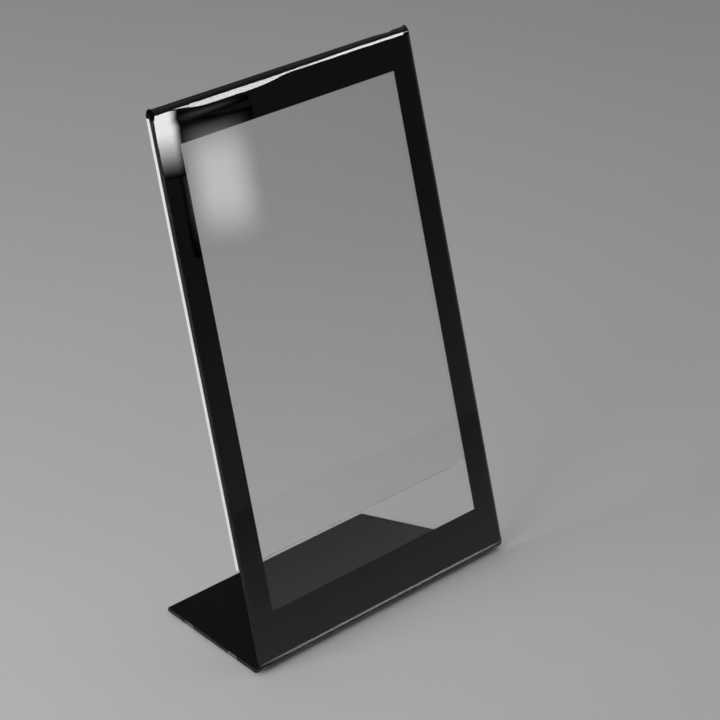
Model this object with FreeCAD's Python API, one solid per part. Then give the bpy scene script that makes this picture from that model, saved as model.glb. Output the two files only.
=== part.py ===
"""Slanted table-top sign stand for an A4 portrait sheet.

One clear acrylic sheet is heat-bent twice. It runs from the lower edge of the
rear panel up to the top fold, over it, down the front panel, round the bottom
bend and back along the foot. A black layer on the inner side of the sheet
covers the fold, the border of the front panel, the bend and the foot. Four
thin rubber pads hold the foot off the table.

Frame: millimetres, +X to the viewer's right, +Y to the back, +Z up. The origin
is the centre of the bounding box, on the table.

The sheet is written as five solids that meet face to face at the tangent lines
of its two bends, so that each flat stretch stays a plain slab.
"""
import FreeCAD, Part
import math
import os

# Driving dimensions
panel_width = 212.0
sheet_thickness = 2.2
pocket_gap = 0.3
lean_angle = 16.7           # of the front panel, back from vertical
front_length = 299.0        # up the slope, from the table to the fold's tangent line
fold_rise = 6.2             # outer height of the fold above its tangent line, at its raised ends
loop_radius = 0.8           # of the round tunnel that the fold leaves at the pocket's end
loop_rise = 3.3             # height of the tunnel's axis above the fold's tangent line
rear_panel_start = 59.2     # up the slope, to the rear panel's lower edge
bend_outer_radius = 4.8
foot_depth = 86.9           # from the front plane's line on the table to the rear edge
foot_rear_width = 166.9

ink_thickness = 0.05
window_width = 176.8
window_low = 31.0           # up the slope, to the window's lower edge
window_high = 282.8

pad_diameter = 8.0
pad_height = 0.8
pad_edge_radius = 0.2
adhesive_diameter = 7.4
adhesive_height = 0.2
pad_side_inset = 11.0       # from the foot's slanted side, along X
pad_front_inset = 8.0       # from the bend's tangent line
pad_rear_inset = 9.0        # from the foot's rear edge

# Derived dimensions
sin_lean = math.sin(math.radians(lean_angle))
cos_lean = math.cos(math.radians(lean_angle))
foot_underside = pad_height + adhesive_height
foot_top = foot_underside + sheet_thickness
bend_inner_radius = bend_outer_radius - sheet_thickness
bend_z = foot_underside + bend_outer_radius
bend_y = (bend_outer_radius + sin_lean * bend_z) / cos_lean
bend_length = sin_lean * bend_y + cos_lean * bend_z     # slope position of the tangent line
rear_near = sheet_thickness + pocket_gap                # depths behind the front plane
rear_far = rear_near + sheet_thickness
half_depth = rear_far / 2
half_width = panel_width / 2

front_reach = bend_y - bend_outer_radius
fold_reach = math.hypot(fold_rise * sin_lean, half_depth * cos_lean)
rear_reach = front_length * sin_lean + half_depth * cos_lean + fold_reach
centre_y = (front_reach + rear_reach) / 2


def side_point(y, z):
    """A point of the side profile, with Y measured from the front plane's line."""
    return FreeCAD.Vector(-half_width, y - centre_y, z)


def slope_point(length, depth):
    """A point of the side profile: length up the front plane, depth behind it."""
    y = length * sin_lean + depth * cos_lean
    z = length * cos_lean - depth * sin_lean
    return side_point(y, z)


def run_across(edges, width=panel_width):
    """Extrude a closed side profile over that width, centred on X."""
    face = Part.Face(Part.Wire(Part.__sortEdges__(edges)))
    solid = face.extrude(FreeCAD.Vector(width, 0, 0))
    solid.translate(FreeCAD.Vector((panel_width - width) / 2, 0, 0))
    return solid


def straight_edges(points, closed=True):
    """Straight edges from point to point, and back to the first one if closed."""
    ends = points[1:] + points[:1] if closed else points[1:]
    return [Part.LineSegment(a, b).toShape() for a, b in zip(points, ends)]


def slope_slab(low, high, near, far, width=panel_width):
    """A flat stretch of sheet, parallel to the front plane."""
    corners = [(low, near), (high, near), (high, far), (low, far)]
    return run_across(straight_edges([slope_point(*corner) for corner in corners]), width)


def foot_outline(z):
    """The foot's trapezoid: full width at the bend, narrower at the rear edge."""
    rear = foot_rear_width / 2
    front_y = bend_y - centre_y
    rear_y = foot_depth - centre_y
    corners = [(-half_width, front_y), (half_width, front_y), (rear, rear_y), (-rear, rear_y)]
    points = [FreeCAD.Vector(x, y, z) for x, y in corners]
    return Part.Face(Part.Wire(straight_edges(points)))


def foot_slab(z, height):
    """A flat layer with the foot's outline, from z upwards."""
    return foot_outline(z).extrude(FreeCAD.Vector(0, 0, height))


def bend_arc(radius):
    """An arc about the bottom bend's axis, from the front panel to the foot."""
    start = math.pi - math.radians(lean_angle)
    end = 1.5 * math.pi
    points = []
    for angle in (start, (start + end) / 2, end):
        y = bend_y + radius * math.cos(angle)
        z = bend_z + radius * math.sin(angle)
        points.append(side_point(y, z))
    return points


def bend_shell(outer, inner):
    """The curved layer of the bottom bend between two radii."""
    far = bend_arc(outer)
    near = bend_arc(inner)
    edges = [Part.Arc(*far).toShape(), Part.Arc(*near).toShape()]
    edges.append(Part.LineSegment(far[0], near[0]).toShape())
    edges.append(Part.LineSegment(far[2], near[2]).toShape())
    return run_across(edges)


def make_front_panel():
    return slope_slab(bend_length, front_length, 0, sheet_thickness)


def make_rear_panel():
    return slope_slab(rear_panel_start, front_length, rear_near, rear_far)


def make_bottom_bend():
    return bend_shell(bend_outer_radius, bend_inner_radius)


def make_foot_plate():
    return foot_slab(foot_underside, sheet_thickness)


def loop_points(radius, near, far):
    """Three points round the tunnel, from one wall of the pocket over the top to the other."""
    middle = front_length + loop_rise
    start = middle - math.sqrt(radius ** 2 - (half_depth - near) ** 2)
    end = middle - math.sqrt(radius ** 2 - (far - half_depth) ** 2)
    return [slope_point(start, near), slope_point(middle + radius, half_depth), slope_point(end, far)]


def make_top_fold():
    """A tall rounded fold with the end of the pocket and its tunnel inside it."""
    centre = slope_point(front_length, half_depth)
    apex = slope_point(front_length + fold_rise, half_depth)
    flank = slope_point(front_length, rear_far)
    ellipse = Part.Ellipse(apex, flank, centre)
    quarter = math.pi / 2
    outside = Part.ArcOfEllipse(ellipse, -quarter, quarter).toShape()
    loop = loop_points(loop_radius, sheet_thickness, rear_near)
    front_wall = [slope_point(front_length, 0), slope_point(front_length, sheet_thickness), loop[0]]
    rear_wall = [loop[2], slope_point(front_length, rear_near), flank]
    edges = [outside, Part.Arc(*loop).toShape()]
    edges += straight_edges(front_wall, closed=False) + straight_edges(rear_wall, closed=False)
    return run_across(edges)


def make_border_print():
    """The black border on the front panel's rear face, with its window."""
    layer = slope_slab(bend_length, front_length, sheet_thickness, sheet_thickness + ink_thickness)
    window = slope_slab(window_low, window_high, sheet_thickness / 2, rear_near, window_width)
    return layer.cut(window)


def make_fold_print():
    """The black layer up the pocket's front wall and round the tunnel."""
    front = sheet_thickness
    front_inner = front + ink_thickness
    outer = loop_points(loop_radius, front, rear_near)
    inner = loop_points(loop_radius - ink_thickness, front_inner, rear_near - ink_thickness)
    wall = [inner[0], slope_point(front_length, front_inner), slope_point(front_length, front), outer[0]]
    edges = [Part.Arc(*outer).toShape(), Part.Arc(*inner).toShape()]
    edges.append(Part.LineSegment(outer[2], inner[2]).toShape())
    return run_across(edges + straight_edges(wall, closed=False))


def make_foot_print():
    """The black layer round the inside of the bend and over the foot."""
    curved = bend_shell(bend_inner_radius, bend_inner_radius - ink_thickness)
    flat = foot_slab(foot_top, ink_thickness)
    return curved.fuse(flat).removeSplitter()


def pad_places():
    """Name and centre of each pad, under the foot's four corners."""
    rows = {"front": bend_y + pad_front_inset, "rear": foot_depth - pad_rear_inset}
    taper = (panel_width - foot_rear_width) / 2 / (foot_depth - bend_y)
    places = {}
    for row, y in rows.items():
        x = half_width - taper * (y - bend_y) - pad_side_inset
        for side, sign in (("left", -1), ("right", 1)):
            places[row + "_" + side] = (sign * x, y - centre_y)
    return places


def make_pad(x, y):
    pad = Part.makeCylinder(pad_diameter / 2, pad_height, FreeCAD.Vector(x, y, 0))
    rim = [edge for edge in pad.Edges if edge.BoundBox.ZMax < pad_height / 2]
    return pad.makeFillet(pad_edge_radius, rim)


def make_adhesive(x, y):
    return Part.makeCylinder(adhesive_diameter / 2, adhesive_height, FreeCAD.Vector(x, y, pad_height))


def make_all():
    pieces = {
        "front_panel": make_front_panel(),
        "rear_panel": make_rear_panel(),
        "top_fold": make_top_fold(),
        "bottom_bend": make_bottom_bend(),
        "foot_plate": make_foot_plate(),
        "border_print": make_border_print(),
        "fold_print": make_fold_print(),
        "foot_print": make_foot_print(),
    }
    for place, (x, y) in pad_places().items():
        pieces["pad_" + place] = make_pad(x, y)
        pieces["pad_adhesive_" + place] = make_adhesive(x, y)
    return pieces


def main():
    os.makedirs("parts", exist_ok=True)
    for name, shape in make_all().items():
        shape.exportStep("parts/" + name + ".step")
        box = shape.BoundBox
        size = "%.2f x %.2f x %.2f" % (box.XLength, box.YLength, box.ZLength)
        print(name, size, "solids", len(shape.Solids), "valid", shape.isValid(), "volume %.1f" % shape.Volume)
    print("centre_y %.3f bend_y %.3f bend_length %.3f" % (centre_y, bend_y, bend_length))


main()
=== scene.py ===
"""Slanted acrylic sign stand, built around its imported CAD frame. Lengths are in metres."""
import math

import bmesh
import bpy
from mathutils import Euler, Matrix, Quaternion, Vector, noise


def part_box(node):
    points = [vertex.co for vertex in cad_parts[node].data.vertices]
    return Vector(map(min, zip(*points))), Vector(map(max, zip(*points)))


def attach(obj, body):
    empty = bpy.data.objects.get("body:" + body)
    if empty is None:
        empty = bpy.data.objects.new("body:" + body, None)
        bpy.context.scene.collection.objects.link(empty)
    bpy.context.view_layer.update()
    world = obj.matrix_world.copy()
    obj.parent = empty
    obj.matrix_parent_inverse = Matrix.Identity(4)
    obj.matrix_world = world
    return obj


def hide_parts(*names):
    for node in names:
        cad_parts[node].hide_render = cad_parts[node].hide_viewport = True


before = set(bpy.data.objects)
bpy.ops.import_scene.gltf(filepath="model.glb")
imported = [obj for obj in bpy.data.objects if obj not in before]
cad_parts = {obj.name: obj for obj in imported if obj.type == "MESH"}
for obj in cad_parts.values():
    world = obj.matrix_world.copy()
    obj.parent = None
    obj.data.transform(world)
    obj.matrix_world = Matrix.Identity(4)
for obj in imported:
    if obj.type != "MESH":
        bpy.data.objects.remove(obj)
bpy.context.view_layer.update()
MM = 0.001

# ---------------------------------------------------------------- the frame's dimensions


def side_vertices(node):
    """A CAD node's vertices, seen from the side."""
    return [Vector((0, v.co.y, v.co.z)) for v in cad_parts[node].data.vertices]


front_side = side_vertices("front_panel")
panel_foot = min(front_side, key=lambda p: p.y)      # lower edge of the front face
panel_head = max(front_side, key=lambda p: p.z)      # upper edge of the front face
UP_SLOPE = (panel_head - panel_foot).normalized()
INWARD = Vector((0, UP_SLOPE.z, -UP_SLOPE.y))        # from the front face towards the back
TABLE_LINE = panel_foot - UP_SLOPE * (panel_foot.z / UP_SLOPE.z)


def slope_point(length, depth):
    """The side profile's point that far up the front face, and that far behind it."""
    return TABLE_LINE + UP_SLOPE * length + INWARD * depth


def slope_span(node):
    """Lowest and highest slope length and depth of a CAD node."""
    offsets = [p - TABLE_LINE for p in side_vertices(node)]
    lengths = [o.dot(UP_SLOPE) for o in offsets]
    depths = [o.dot(INWARD) for o in offsets]
    return min(lengths), max(lengths), min(depths), max(depths)


PANEL_LOW, PANEL_HIGH, _, THICKNESS = slope_span("front_panel")
REAR_LOW, _, REAR_NEAR, REAR_FAR = slope_span("rear_panel")
HALF_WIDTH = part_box("front_panel")[1].x
HALF_DEPTH = REAR_FAR / 2
FOOT_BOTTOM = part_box("foot_plate")[0].z
FOOT_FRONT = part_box("foot_plate")[0].y
FOOT_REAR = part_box("foot_plate")[1].y
BEND_RADIUS = FOOT_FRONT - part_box("bottom_bend")[0].y
BEND_AXIS = Vector((0, FOOT_FRONT, FOOT_BOTTOM + BEND_RADIUS))
LEAN = math.atan2(UP_SLOPE.y, UP_SLOPE.z)
FOOT_REAR_HALF = max(v.co.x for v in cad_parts["foot_plate"].data.vertices
                     if v.co.y > FOOT_REAR - 0.1 * MM)
FOLD_RISE = slope_span("top_fold")[1] - PANEL_HIGH
LOOP_RADIUS = HALF_DEPTH - slope_span("fold_print")[2]
LOOP_RISE = slope_span("fold_print")[1] - PANEL_HIGH - LOOP_RADIUS
INK_THICKNESS = slope_span("border_print")[3] - THICKNESS

# ---------------------------------------------------------------- choices made here

INK_BITE = 0.02 * MM            # the sheet reaches this far into the black layer
EDGE_BEVEL = 0.16 * MM
EAR_RISE = 0.6 * MM             # the fold's ends stand this much above its middle
EAR_WIDTH = 2.8 * MM
EAR_PEAK = 1.0 * MM             # from the sheet's side edge
EAR_END = 0.35                  # the ear's height at the side edge, as a share of its peak
FOLD_SAG = 0.06 * MM            # the crest's uneven sinking
FLARE_RISE = 0.45 * MM          # of the tunnel, where it opens at the sheet's side edges
FLARE_GROWTH = 0.35 * MM        # of its radius there
FLARE_START = 3.2 * MM          # this and the next five are distances from the side edge
FLARE_FULL = 1.4 * MM
PINCH_START = 5.2 * MM
PINCH_FULL = 3.8 * MM
RELEASE_START = 3.0 * MM
RELEASE_FULL = 2.2 * MM
RELEASE_SHARE = 0.65            # of the pinch
WALL_SHARE = 0.25               # of the fold's inner points lie on each wall of the pocket
FOLD_STEPS = 44                 # on each side of the crest
FOLD_INK_STEPS = 60
BEND_STEPS = 28
FLANK_SLOPE = 0.095             # of the fold's front flank, where it leans back below the crest
FLANK_EASE = 0.3 * MM
KNEE_SLOPE = 0.30               # at the foot of the round crest
LEAST_RATIO = 2.05              # above 2, so that the crest can be an elliptic arc
HOLLOW_REACH = 5 * MM           # the sheet sinks a little beside each heated line
TOP_HOLLOW = 0.02 * MM
LOW_HOLLOW = 0.10 * MM

# Side edges and ends, counted in rows and columns of the sheet's mesh
FOLD_CUT_ROWS = 7               # the saw-cut edge runs this many rows into the fold
PAINTED_COLUMNS = 4             # the fold's painted ends
RIGHT_PAINT_ROWS = 16           # the paint goes this much further down the right side edge
POLISHED, SAW_CUT, PAINTED = 0, 1, 2    # the sheet's material slots

# ---------------------------------------------------------------- the bent sheet


def ramp(value, start, full):
    """An eased step: 0 up to start, 1 from full on."""
    share = min(max((value - start) / (full - start), 0.0), 1.0)
    return share * share * (3 - 2 * share)


def wave(x, seed, scale):
    """A slow seeded wobble along the width, from -1 to 1."""
    return noise.noise(Vector((x / scale, seed, 0.5)))


def ear(x):
    """The raised bead beside each end of the fold: 1 at its peak, 0 along the middle."""
    inset = HALF_WIDTH - abs(x)
    if inset > EAR_PEAK:
        return ramp(inset, EAR_WIDTH, EAR_PEAK)
    past_peak = 1 - inset / EAR_PEAK
    return EAR_END + (1 - EAR_END) * math.sqrt(1 - past_peak ** 2)


def flare(x):
    """How far the tunnel has opened out: 0 along the middle, 1 at the side edges."""
    return ramp(HALF_WIDTH - abs(x), FLARE_START, FLARE_FULL)


def pinch(x):
    """Where the fold's leaning strip narrows beside its ends, and opens a little again."""
    inset = HALF_WIDTH - abs(x)
    release = RELEASE_SHARE * ramp(inset, RELEASE_START, RELEASE_FULL)
    return ramp(inset, PINCH_START, PINCH_FULL) * (1 - release)


def hollow(distance, depth, x, seed):
    """How far the front face sinks at this distance from a heated line."""
    uneven = depth * (1 + 0.6 * wave(x, seed, 45 * MM))
    return uneven * math.exp(-((distance - HOLLOW_REACH) / (0.5 * HOLLOW_REACH)) ** 2)


def flat_lengths(low, high):
    """Slope lengths of a flat stretch, closer together near its two ends."""
    near = [0.0, 0.4, 1.0, 2.0, 3.2, 4.6, 6.2, 8.0, 11.0, 16.0, 24.0]
    near = [n * MM for n in near]
    span = high - low
    middle = [low + span * (0.2 + 0.6 * i / 6) for i in range(7)]
    return [low + n for n in near] + middle + [high - n for n in reversed(near)]


def rear_stretch():
    """Outer and inner points up the rear panel."""
    near = REAR_NEAR - INK_BITE
    pairs = []
    for length in flat_lengths(REAR_LOW, PANEL_HIGH):
        pairs.append((slope_point(length, REAR_FAR), slope_point(length, near)))
    return pairs


def loop_inside(share, x, bite):
    """A point of the fold's inner side: up the rear wall, round the tunnel, down the front wall."""
    radius = LOOP_RADIUS + FLARE_GROWTH * flare(x) - bite
    half_gap = (REAR_NEAR - THICKNESS) / 2 - bite
    opening = math.asin(half_gap / radius)
    axis = LOOP_RISE + EAR_RISE * ear(x) + FLARE_RISE * flare(x)
    join = axis - radius * math.cos(opening)
    if share < WALL_SHARE:
        return slope_point(PANEL_HIGH + join * share / WALL_SHARE, HALF_DEPTH + half_gap)
    if share > 1 - WALL_SHARE:
        return slope_point(PANEL_HIGH + join * (1 - share) / WALL_SHARE, HALF_DEPTH - half_gap)
    turn = (share - WALL_SHARE) / (1 - 2 * WALL_SHARE)
    angle = opening + turn * (2 * math.pi - 2 * opening)
    return slope_point(PANEL_HIGH + axis - radius * math.cos(angle),
                       HALF_DEPTH + radius * math.sin(angle))


def low_start(x):
    """Rise on the fold's front flank where it starts to lean back, uneven from end to end."""
    lowest = -0.9 * MM
    right_part = 2.3 * MM * ramp(x, -24 * MM, 6 * MM)
    left_part = 2.9 * MM * ramp(x, -66 * MM, -92 * MM)
    uneven = 1.6 * MM * pinch(x) + 0.1 * MM * wave(x, 7.0, 24 * MM)
    return lowest + right_part + left_part + uneven


def knee_rise(x):
    """Rise on the front flank where the leaning strip ends and the round crest begins."""
    lowest = 2.1 * MM
    right_part = 0.6 * MM * ramp(x, -15 * MM, 60 * MM)
    return lowest + right_part + 0.05 * MM * wave(x, 9.0, 30 * MM)


def flank_depth(rise, crest, x):
    """How far the front flank stands back from the front plane at that rise."""
    knee = knee_rise(x)
    past = min(rise, knee) - low_start(x)
    if past < 0:
        leaning = 0.0
    elif past < FLANK_EASE:
        leaning = FLANK_SLOPE * past ** 2 / (2 * FLANK_EASE)
    else:
        leaning = FLANK_SLOPE * (past - FLANK_EASE / 2)
    if rise <= knee:
        return leaning
    height, left = crest - knee, HALF_DEPTH - leaning
    ratio = max(left / (height * KNEE_SLOPE), LEAST_RATIO)
    axis = height * (ratio - 1) / (ratio - 2)
    start = 1 - height / axis
    here = min(1 - (crest - rise) / axis, 1.0)
    share = 1 - math.sqrt((1 - here ** 2) / (1 - start ** 2))
    return leaning + left * share


def fold_stretch(x):
    """Outer and inner points over the fold, from the rear panel to the front panel."""
    sag = FOLD_SAG * (1 + wave(x, 3.0, 30 * MM))
    crest = FOLD_RISE - EAR_RISE * (1 - ear(x)) - sag
    angles = [math.pi / 2 * step / FOLD_STEPS for step in range(1, FOLD_STEPS + 1)]
    outside = [(HALF_DEPTH * (1 + math.cos(a)), crest * math.sin(a)) for a in angles]
    for angle in reversed(angles[:-1]):
        rise = crest * math.sin(angle)
        outside.append((flank_depth(rise, crest, x), rise))
    pairs = []
    for step, (depth, rise) in enumerate(outside, 1):
        share = step / (len(outside) + 1)
        pairs.append((slope_point(PANEL_HIGH + rise, depth), loop_inside(share, x, INK_BITE)))
    return pairs


def front_stretch(x):
    """Outer and inner points down the front panel."""
    pairs = []
    for length in reversed(flat_lengths(PANEL_LOW, PANEL_HIGH)):
        sunk = hollow(length - PANEL_LOW, LOW_HOLLOW, x, 11.0)
        sunk += hollow(PANEL_HIGH - length, TOP_HOLLOW, x, 17.0)
        sunk += flank_depth(length - PANEL_HIGH, FOLD_RISE, x)
        outer = slope_point(length, sunk)
        pairs.append((outer, slope_point(length, THICKNESS + INK_BITE)))
    return pairs


def bend_stretch():
    """Outer and inner points round the bottom bend."""
    inner = BEND_RADIUS - THICKNESS - INK_BITE
    start, end = math.pi - LEAN, 1.5 * math.pi
    pairs = []
    for step in range(1, BEND_STEPS):
        angle = start + (end - start) * step / BEND_STEPS
        way = Vector((0, math.cos(angle), math.sin(angle)))
        pairs.append((BEND_AXIS + way * BEND_RADIUS, BEND_AXIS + way * inner))
    return pairs


def foot_stretch():
    """Outer and inner points along the foot."""
    low, high = FOOT_BOTTOM, FOOT_BOTTOM + THICKNESS + INK_BITE
    places = flat_lengths(FOOT_FRONT, FOOT_REAR)
    return [(Vector((0, y, low)), Vector((0, y, high))) for y in places]


def width_share(point):
    """The sheet's half width at a point of its side profile, as a share of the full one."""
    back = min(max((point.y - FOOT_FRONT) / (FOOT_REAR - FOOT_FRONT), 0), 1)
    on_foot = point.z < FOOT_BOTTOM + 1.5 * THICKNESS
    return 1 + (FOOT_REAR_HALF / HALF_WIDTH - 1) * back if on_foot else 1.0


def pinched(pair, amount):
    """A pair of points moved towards each other, for a bevel."""
    outer, inner = pair
    step = (inner - outer).normalized() * amount
    return outer + step, inner - step


def profile(x):
    """Every outer and inner pair at one place across the width, with bevelled ends."""
    rear, foot = rear_stretch(), foot_stretch()
    pairs = rear + fold_stretch(x) + front_stretch(x) + bend_stretch() + foot
    start = rear[0]
    along_start = UP_SLOPE * EDGE_BEVEL
    pairs[0] = tuple(p + along_start for p in start)
    pairs.insert(0, pinched(start, EDGE_BEVEL))
    along_end = Vector((0, EDGE_BEVEL, 0))
    end = foot[-1]
    pairs[-1] = tuple(p - along_end for p in end)
    pairs.append(pinched(end, EDGE_BEVEL))
    return pairs


def column_places():
    """Places across the width, closer together near the two ends."""
    near = [0.5, 0.9, 1.3, 1.7, 2.1, 2.5, 2.9, 3.4, 4.0, 4.5, 5.0, 6.0]
    near = [EDGE_BEVEL] + [n * MM for n in near]
    count = 40
    inner = HALF_WIDTH - 9 * MM
    middle = [inner * (2 * i / (count - 1) - 1) for i in range(count)]
    return [-HALF_WIDTH + n for n in near] + middle + [HALF_WIDTH - n for n in reversed(near)]


def edge_kind(row, cut_rows, painted_rows):
    """A side edge's material at that row."""
    if row < cut_rows:
        return SAW_CUT
    return PAINTED if row < painted_rows else POLISHED


def layer_mesh(name, columns, cut_rows=0, painted_rows=0):
    """A closed mesh between the outer and inner points of all columns, as an object.

    The side edges are saw-cut up to cut_rows, and painted from there to painted_rows.
    The paint also goes round onto the outer face, over the PAINTED_COLUMNS at each end."""
    rows, last = len(columns[0][1]), len(columns) - 1
    points, index = [], {}
    for c, (x, pairs) in enumerate(columns):
        for r, pair in enumerate(pairs):
            for side, point in enumerate(pair):
                index[c, r, side] = len(points)
                points.append((x * width_share(point), point.y, point.z))
    faces, kinds = [], []

    def add(corners, kind=POLISHED):
        faces.append([index[c] for c in corners])
        kinds.append(kind)

    for c in range(last):
        for r in range(rows - 1):
            at_end = c < PAINTED_COLUMNS or c >= last - PAINTED_COLUMNS
            painted = at_end and cut_rows <= r < painted_rows
            add([(c, r, 0), (c + 1, r, 0), (c + 1, r + 1, 0), (c, r + 1, 0)],
                PAINTED if painted else POLISHED)
            add([(c, r, 1), (c, r + 1, 1), (c + 1, r + 1, 1), (c + 1, r, 1)])
        add([(c, 0, 1), (c + 1, 0, 1), (c + 1, 0, 0), (c, 0, 0)],
            SAW_CUT if cut_rows else POLISHED)
        add([(c, rows - 1, 0), (c + 1, rows - 1, 0), (c + 1, rows - 1, 1), (c, rows - 1, 1)])
    for r in range(rows - 1):
        left = edge_kind(r, cut_rows, painted_rows)
        right = edge_kind(r, cut_rows - RIGHT_PAINT_ROWS, painted_rows)
        add([(0, r, 0), (0, r + 1, 0), (0, r + 1, 1), (0, r, 1)], left)
        add([(last, r, 1), (last, r + 1, 1), (last, r + 1, 0), (last, r, 0)], right)
    mesh = bpy.data.meshes.new(name)
    mesh.from_pydata(points, [], faces)
    mesh.polygons.foreach_set("material_index", kinds)
    return finish_mesh(mesh, name)


def make_sheet():
    """The whole bent sheet. The rear panel's edges are saw-cut and the fold's ends painted black."""
    columns = [(x, profile(x)) for x in column_places()]
    left = (-HALF_WIDTH, [pinched(p, EDGE_BEVEL) for p in columns[0][1]])
    right = (HALF_WIDTH, [pinched(p, EDGE_BEVEL) for p in columns[-1][1]])
    rear_rows = len(rear_stretch())
    cut_rows = rear_rows + FOLD_CUT_ROWS
    painted_rows = rear_rows + len(fold_stretch(0)) + 1
    return layer_mesh("acrylic_sheet", [left] + columns + [right], cut_rows, painted_rows)


def make_fold_ink():
    """The black layer up the pocket's front wall and round the fold's tunnel."""
    steps = range(FOLD_INK_STEPS + 1)
    shares = [WALL_SHARE + (1 - WALL_SHARE) * step / FOLD_INK_STEPS for step in steps]
    columns = []
    for x in [-HALF_WIDTH] + column_places() + [HALF_WIDTH]:
        pairs = [(loop_inside(s, x, 0.0), loop_inside(s, x, INK_THICKNESS)) for s in shares]
        columns.append((x, pairs))
    return layer_mesh("fold_ink", columns)


def finish_mesh(mesh, name, sharp_degrees=22):
    """Smooth shading with sharp edges where faces meet steeply, as an object in the scene."""
    work = bmesh.new()
    work.from_mesh(mesh)
    bmesh.ops.recalc_face_normals(work, faces=work.faces)
    limit = math.radians(sharp_degrees)
    for face in work.faces:
        face.smooth = True
    for edge in work.edges:
        edge.smooth = edge.calc_face_angle(math.pi) < limit
    work.to_mesh(mesh)
    work.free()
    made = bpy.data.objects.new(name, mesh)
    bpy.context.scene.collection.objects.link(made)
    return made


# ---------------------------------------------------------------- pads and adhesive


def lathe(name, centre, outline, segments=72):
    """A closed turned piece about a vertical line, from (radius, height) points."""
    mesh = bpy.data.meshes.new(name)
    points, faces = [], []
    for radius, height in outline:
        for s in range(segments):
            angle = 2 * math.pi * s / segments
            points.append((centre.x + radius * math.cos(angle), centre.y + radius * math.sin(angle),
                           centre.z + height))
    for row in range(len(outline) - 1):
        for s in range(segments):
            t = (s + 1) % segments
            faces.append([row * segments + s, row * segments + t,
                          (row + 1) * segments + t, (row + 1) * segments + s])
    faces.append(list(range(segments))[::-1])
    top = (len(outline) - 1) * segments
    faces.append([top + s for s in range(segments)])
    mesh.from_pydata(points, [], faces)
    return finish_mesh(mesh, name, 30)


def rounded_rim(radius, height, rim, steps=6):
    """A convex quarter arc from the underside out to the side."""
    arc = []
    for step in range(steps + 1):
        angle = math.pi / 2 * step / steps
        arc.append((radius - rim + rim * math.sin(angle), height + rim * (1 - math.cos(angle))))
    return arc


def make_pad(node):
    """A moulded rubber bumper: a rounded rim and a shallow ring in its underside."""
    low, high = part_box(node)
    centre = Vector(((low.x + high.x) / 2, (low.y + high.y) / 2, low.z))
    radius, height = (high.x - low.x) / 2, high.z - low.z
    groove = 0.10 * MM
    outline = [(0.10 * radius, groove), (0.16 * radius, groove * 0.9), (0.20 * radius, 0.0),
               (0.52 * radius, 0.0), (0.55 * radius, groove * 0.7), (0.58 * radius, groove),
               (0.64 * radius, groove), (0.67 * radius, groove * 0.7), (0.70 * radius, 0.0)]
    outline += rounded_rim(radius, 0.0, 0.28 * MM)
    outline += [(radius, height - 0.08 * MM), (radius - 0.03 * MM, height - 0.02 * MM),
                (radius - 0.08 * MM, height)]
    piece = lathe("bumper_" + node[len("pad_"):], centre, outline)
    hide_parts(node)
    return piece


def make_adhesive(node):
    """A die-cut foam disc, pressed a little narrower at its middle."""
    low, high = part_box(node)
    centre = Vector(((low.x + high.x) / 2, (low.y + high.y) / 2, low.z))
    radius, height = (high.x - low.x) / 2, high.z - low.z - 0.01 * MM
    outline = [(radius - 0.02 * MM, 0.0), (radius, 0.1 * height), (radius - 0.05 * MM, 0.35 * height),
               (radius - 0.07 * MM, 0.5 * height), (radius - 0.05 * MM, 0.65 * height),
               (radius, 0.9 * height), (radius - 0.02 * MM, height)]
    piece = lathe("foam_disc_" + node[len("pad_adhesive_"):], centre, outline)
    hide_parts(node)
    return piece


# ---------------------------------------------------------------- materials


class Nodes:
    """A short way to write a node tree."""

    def __init__(self, tree):
        self.tree = tree
        tree.nodes.clear()

    def add(self, kind, inputs=None, **settings):
        node = self.tree.nodes.new("ShaderNode" + kind)
        for name, value in settings.items():
            setattr(node, name, value)
        for name, value in (inputs or {}).items():
            self.put(node.inputs[name], value)
        return node

    def put(self, socket, value):
        if isinstance(value, bpy.types.NodeSocket):
            self.tree.links.new(value, socket)
        else:
            socket.default_value = value

    def noise(self, vector, scale, detail=3.0, roughness=0.55):
        inputs = {"Vector": vector, "Scale": scale, "Detail": detail, "Roughness": roughness}
        return self.add("TexNoise", inputs).outputs["Fac"]

    def span(self, value, low, high, to_low, to_high):
        return self.map_range(value, low, high, to_low, to_high, "LINEAR")

    def ease(self, value, low, high, to_low, to_high):
        return self.map_range(value, low, high, to_low, to_high, "SMOOTHSTEP")

    def map_range(self, value, low, high, to_low, to_high, kind):
        inputs = {"Value": value, "From Min": low, "From Max": high, "To Min": to_low,
                  "To Max": to_high}
        return self.add("MapRange", inputs, interpolation_type=kind).outputs["Result"]

    def tone(self, share, dark, light):
        """A colour that wanders between two, each a grey level or a triple."""
        ends = [(c, c, c, 1) if isinstance(c, float) else (*c, 1) for c in (dark, light)]
        inputs = {"Fac": share, "Color1": ends[0], "Color2": ends[1]}
        return self.add("MixRGB", inputs).outputs[0]

    def math(self, operation, a, b=0.0):
        return self.add("Math", {0: a, 1: b}, operation=operation).outputs[0]

    def bump(self, height, distance, strength=1.0):
        inputs = {"Height": height, "Distance": distance, "Strength": strength}
        return self.add("Bump", inputs).outputs["Normal"]


def new_material(name):
    """A material, with its emptied node tree."""
    material = bpy.data.materials.new(name)
    material.use_nodes = True
    return material, Nodes(material.node_tree)


def stretched(n, vector, factors):
    """Coordinates scaled per axis, so that a pattern runs in streaks."""
    return n.add("Mapping", {"Vector": vector, "Scale": factors}).outputs["Vector"]


def scratches(n, place):
    """0 on clean sheet, up to 1 on sparse hairlines in two directions."""
    lines = None
    for factors in ((900, 14, 40), (22, 700, 260)):
        streak = n.noise(stretched(n, place, factors), 1.0, 2.0)
        thin = n.span(streak, 0.71, 0.76, 0.0, 1.0)
        lines = thin if lines is None else n.math("MAXIMUM", lines, thin)
    return lines


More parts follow.
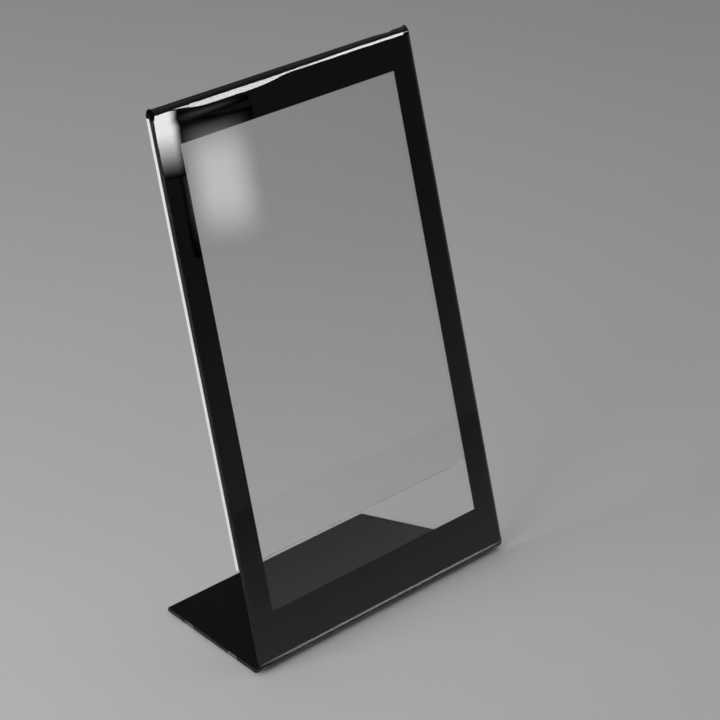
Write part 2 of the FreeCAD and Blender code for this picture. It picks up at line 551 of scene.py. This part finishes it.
def clear_acrylic():
    """Polished clear sheet with a faint ripple and hairlines."""
    material, n = new_material("clear_acrylic")
    place = n.add("TexCoord").outputs["Object"]
    lines = scratches(n, place)
    rough = n.math("MULTIPLY", lines, 0.05)
    ripple = n.noise(place, 16.0, 1.0, 0.4)
    height = n.math("ADD", ripple, n.math("MULTIPLY", lines, -0.0015))
    body = n.add("BsdfPrincipled", {
        "Base Color": (0.978, 0.98, 0.98, 1), "Roughness": rough, "IOR": 1.491,
        "Transmission Weight": 1.0, "Normal": n.bump(height, 0.00004),
    })
    shadow = n.add("BsdfTransparent", {"Color": (0.88, 0.90, 0.895, 1)})
    is_shadow = n.add("LightPath").outputs["Is Shadow Ray"]
    mix = n.add("MixShader", {0: is_shadow, 1: body.outputs[0], 2: shadow.outputs[0]})
    n.add("OutputMaterial", {"Surface": mix.outputs[0]})
    return material


def cut_edge():
    """The rear panel's saw-cut and scraped edge, which glows white."""
    material, n = new_material("cut_edge")
    place = n.add("TexCoord").outputs["Object"]
    saw = n.noise(stretched(n, place, (300, 300, 2600)), 1.0, 2.0)
    cloud = n.noise(place, 160.0, 3.0)
    tone = n.tone(cloud, (0.94, 0.95, 0.95), 1.0)
    body = n.add("BsdfPrincipled", {
        "Base Color": tone, "Roughness": n.span(saw, 0.3, 0.7, 0.28, 0.5), "IOR": 1.491,
        "Transmission Weight": 0.1, "Normal": n.bump(saw, 0.00002),
    })
    glow = n.add("BsdfTranslucent", {"Color": (0.97, 0.98, 0.98, 1)})
    mix = n.add("MixShader", {0: 0.4, 1: body.outputs[0], 2: glow.outputs[0]})
    n.add("OutputMaterial", {"Surface": mix.outputs[0]})
    return material


def black_ink():
    """Screen-printed black. The side in the sheet has no gloss of its own, the open side has."""
    material, n = new_material("black_ink")
    place = n.add("TexCoord").outputs["Object"]
    coat = n.noise(place, 900.0, 4.0, 0.6)
    cloud = n.noise(place, 25.0, 3.0)
    tone = n.tone(cloud, 0.0015, 0.003)
    into_sheet = Vector((0, -0.86, -0.51))      # roughly so on the front panel and on the foot
    normal = n.add("NewGeometry").outputs["True Normal"]
    facing = n.add("VectorMath", {0: normal, 1: into_sheet}, operation="DOT_PRODUCT")
    open_side = n.math("LESS_THAN", facing.outputs["Value"], 0.0)
    body = n.add("BsdfPrincipled", {
        "Base Color": tone, "Roughness": n.span(cloud, 0.3, 0.7, 0.38, 0.5),
        "Specular IOR Level": n.math("MULTIPLY", open_side, 0.05), "Normal": n.bump(coat, 0.00002),
    })
    n.add("OutputMaterial", {"Surface": body.outputs[0]})
    return material


def pad_rubber():
    """Dull black rubber with a fine grain and a faint bloom."""
    material, n = new_material("pad_rubber")
    place = n.add("TexCoord").outputs["Object"]
    grain = n.noise(place, 2600.0, 4.0, 0.7)
    bloom = n.noise(place, 420.0, 3.0)
    tone = n.tone(bloom, (0.018, 0.018, 0.019), (0.05, 0.05, 0.052))
    body = n.add("BsdfPrincipled", {
        "Base Color": tone, "Roughness": n.span(bloom, 0.3, 0.7, 0.6, 0.85),
        "Specular IOR Level": 0.35, "Normal": n.bump(grain, 0.00006),
    })
    n.add("OutputMaterial", {"Surface": body.outputs[0]})
    return material


def pad_adhesive():
    """Black foam tape, its cells just visible."""
    material, n = new_material("pad_adhesive")
    place = n.add("TexCoord").outputs["Object"]
    cells = n.add("TexVoronoi", {"Vector": place, "Scale": 6500.0}).outputs["Distance"]
    cloud = n.noise(place, 700.0, 3.0)
    tone = n.tone(cloud, 0.004, 0.009)
    body = n.add("BsdfPrincipled", {
        "Base Color": tone, "Roughness": 0.9, "Specular IOR Level": 0.2,
        "Normal": n.bump(cells, 0.00005),
    })
    n.add("OutputMaterial", {"Surface": body.outputs[0]})
    return material


def floor_surface():
    """Plain matte grey."""
    material, n = new_material("studio_floor")
    place = n.add("TexCoord").outputs["Object"]
    cloud = n.noise(place, 3.0, 3.0)
    tone = n.tone(cloud, 0.36, 0.38)
    body = n.add("BsdfPrincipled", {
        "Base Color": tone, "Roughness": 1.0, "Specular IOR Level": 0.0,
    })
    n.add("OutputMaterial", {"Surface": body.outputs[0]})
    return material


# ---------------------------------------------------------------- the object

sheet = make_sheet()
ink = black_ink()
for finish in (clear_acrylic(), cut_edge(), ink):
    sheet.data.materials.append(finish)
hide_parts("front_panel", "rear_panel", "top_fold", "bottom_bend", "foot_plate")
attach(sheet, "root")

fold_ink = make_fold_ink()
fold_ink.data.materials.append(ink)
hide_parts("fold_print")
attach(fold_ink, "root")
for node in ("border_print", "foot_print"):
    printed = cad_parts[node]
    printed.data.materials.clear()
    printed.data.materials.append(ink)

rubber, foam = pad_rubber(), pad_adhesive()
for row in ("front", "rear"):
    for side in ("left", "right"):
        place_name = row + "_" + side
        for piece, finish in ((make_pad("pad_" + place_name), rubber),
                              (make_adhesive("pad_adhesive_" + place_name), foam)):
            piece.data.materials.append(finish)
            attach(piece, "root")

# ---------------------------------------------------------------- studio


def make_floor():
    """A round floor on the table's level."""
    radius, segments = 2.4, 96
    angles = [2 * math.pi * i / segments for i in range(segments)]
    rim = [(radius * math.cos(a), radius * math.sin(a), 0) for a in angles]
    mesh = bpy.data.meshes.new("studio_floor")
    mesh.from_pydata(rim, [], [list(range(segments))])
    floor = bpy.data.objects.new("studio_floor", mesh)
    floor.data.materials.append(floor_surface())
    bpy.context.scene.collection.objects.link(floor)


def softbox(name, place, aim, width, height, radiance):
    """A rectangular area light at a place, turned to face a point."""
    light = bpy.data.lights.new(name, "AREA")
    light.shape = "RECTANGLE"
    light.size, light.size_y = width, height
    light.energy = radiance * math.pi * width * height
    made = bpy.data.objects.new(name, light)
    made.location = place
    made.rotation_euler = (Vector(aim) - Vector(place)).to_track_quat("-Z", "Y").to_euler()
    made.visible_camera = False
    made.visible_transmission = False
    bpy.context.scene.collection.objects.link(made)


def glow_card(name, place, aim, size, turn, radiance, softness):
    """A glowing card seen only in reflections. Its sides fade out over those shares of its size."""
    material, n = new_material(name)
    parts = n.add("SeparateXYZ", {0: n.add("TexCoord").outputs["Generated"]})
    fade = None
    for axis, soft in zip(("X", "Y"), softness):
        off = n.math("ABSOLUTE", n.math("SUBTRACT", parts.outputs[axis], 0.5))
        part = n.ease(off, 0.5 - soft, 0.5, 1.0, 0.0)
        fade = part if fade is None else n.math("MULTIPLY", fade, part)
    glow = n.add("Emission", {"Strength": n.math("MULTIPLY", fade, radiance)})
    n.add("OutputMaterial", {"Surface": glow.outputs[0]})
    mesh = bpy.data.meshes.new(name)
    w, h = size[0] / 2, size[1] / 2
    mesh.from_pydata([(-w, -h, 0), (w, -h, 0), (w, h, 0), (-w, h, 0)], [], [(0, 1, 2, 3)])
    mesh.materials.append(material)
    made = bpy.data.objects.new(name, mesh)
    made.location = place
    facing = (Vector(aim) - Vector(place)).to_track_quat("Z", "Y")
    made.rotation_euler = (facing @ Quaternion((0, 0, 1), math.radians(turn))).to_euler()
    for kind in ("camera", "transmission", "diffuse", "shadow"):
        setattr(made, "visible_" + kind, False)
    bpy.context.scene.collection.objects.link(made)


def make_world():
    """A dim room, lighter overhead and lit from the floor along the horizon."""
    world = bpy.data.worlds.new("studio")
    world.use_nodes = True
    n = Nodes(world.node_tree)
    way = n.add("TexCoord").outputs["Generated"]
    up = n.add("SeparateXYZ", {0: way}).outputs["Z"]
    below, above = n.ease(up, -0.10, 0.05, 0.22, 0.0), n.ease(up, 0.25, 1.0, 0.08, 0.42)
    background = n.add("Background", {"Color": (1, 1, 1, 1), "Strength": n.math("ADD", below, above)})
    n.add("OutputWorld", {"Surface": background.outputs[0]})
    bpy.context.scene.world = world


def make_camera():
    """A long lens from the left front, a little above the stand."""
    camera = bpy.data.cameras.new("camera")
    camera.lens = 173.723
    camera.sensor_width = 36.0
    made = bpy.data.objects.new("camera", camera)
    made.location = (-1.3629, -1.0640, 0.8497)
    made.rotation_euler = Euler([math.radians(a) for a in (67.5561, -2.5460, -51.4527)])
    bpy.context.scene.collection.objects.link(made)
    bpy.context.scene.camera = made


make_floor()
make_world()
softbox("left_box", (-1.45, 0.15, 0.95), (0, 0, 0.15), 1.1, 1.1, 8.0)
softbox("top_box", (0.1, 0.5, 2.2), (0, 0, 0), 1.6, 1.6, 1.8)
glow_card("fold_card", (1.1902, -0.8800, 0.7259), (0.0162, 0.0540, 0.2769),
          (0.276, 0.464), 20.7, 13.0, (0.02, 0.02))
glow_card("corner_card", (0.8182, -0.8751, 0.3965), (-0.1090, 0.0311, 0.3014),
          (0.060, 0.120), 12.4, 16.0, (0.16, 0.42))
glow_card("window_card", (0.8738, -0.8696, 0.3188), (-0.0641, 0.0278, 0.2477),
          (0.075, 0.13), 12.4, 5.0, (0.42, 0.42))
glow_card("bend_card", (0.015, -0.064, 0.0006), (0.015, -0.064, 1),
          (0.25, 0.034), 0, 2.5, (0.2, 0.2))
make_camera()
bpy.context.scene.view_settings.view_transform = "Standard"
